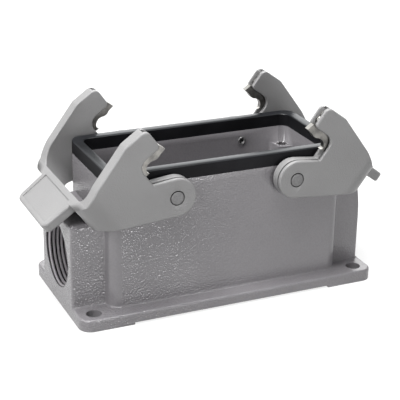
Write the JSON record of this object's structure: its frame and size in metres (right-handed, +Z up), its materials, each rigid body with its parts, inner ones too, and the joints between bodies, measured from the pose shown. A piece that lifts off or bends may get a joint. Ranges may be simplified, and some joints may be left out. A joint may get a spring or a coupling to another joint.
{
  "type": "heavy duty rectangular connector housing",
  "caption": "Surface mounting lower housing of a heavy duty rectangular connector with side cable entry, black rim seal and slotted locking levers, shown open",
  "frame": {"origin": "centre of the footprint on the mounting plane under the two feet", "axes": "+X along the length, away from the cable entry; +Y across, away from the front; +Z up, out of the mounting surface"},
  "size_m": [0.1356, 0.056, 0.0709],
  "materials": {
    "grey_powder_coat": "die-cast aluminium with a textured mid grey powder coat",
    "black_rubber": "moulded black rubber, slightly glossy",
    "grey_plastic": "moulded light grey engineering plastic",
    "stamped_steel": "stamped stainless steel, bright on the sheared edges",
    "turned_steel": "turned steel pin"
  },
  "bodies": {
    "housing": {"housing_body": "grey_powder_coat", "rim_seal": "black_rubber", "pin_left_front": "turned_steel", "pin_left_rear": "turned_steel", "pin_right_front": "turned_steel", "pin_right_rear": "turned_steel"},
    "left_lever": {"lever_left": "grey_plastic", "hook_left_front": "stamped_steel", "hook_left_rear": "stamped_steel"},
    "right_lever": {"lever_right": "grey_plastic", "hook_right_front": "stamped_steel", "hook_right_rear": "stamped_steel"}
  },
  "joints": [
    {"name": "left_lever_pivot", "type": "hinge", "parent": "housing", "child": "left_lever", "pos_m": [-0.0233, 0, 0.04575], "axis": [0, 1, 0], "range_deg": [0, 37]},
    {"name": "right_lever_pivot", "type": "hinge", "parent": "housing", "child": "right_lever", "pos_m": [0.0233, 0, 0.04575], "axis": [0, -1, 0], "range_deg": [0, 37]}
  ]
}
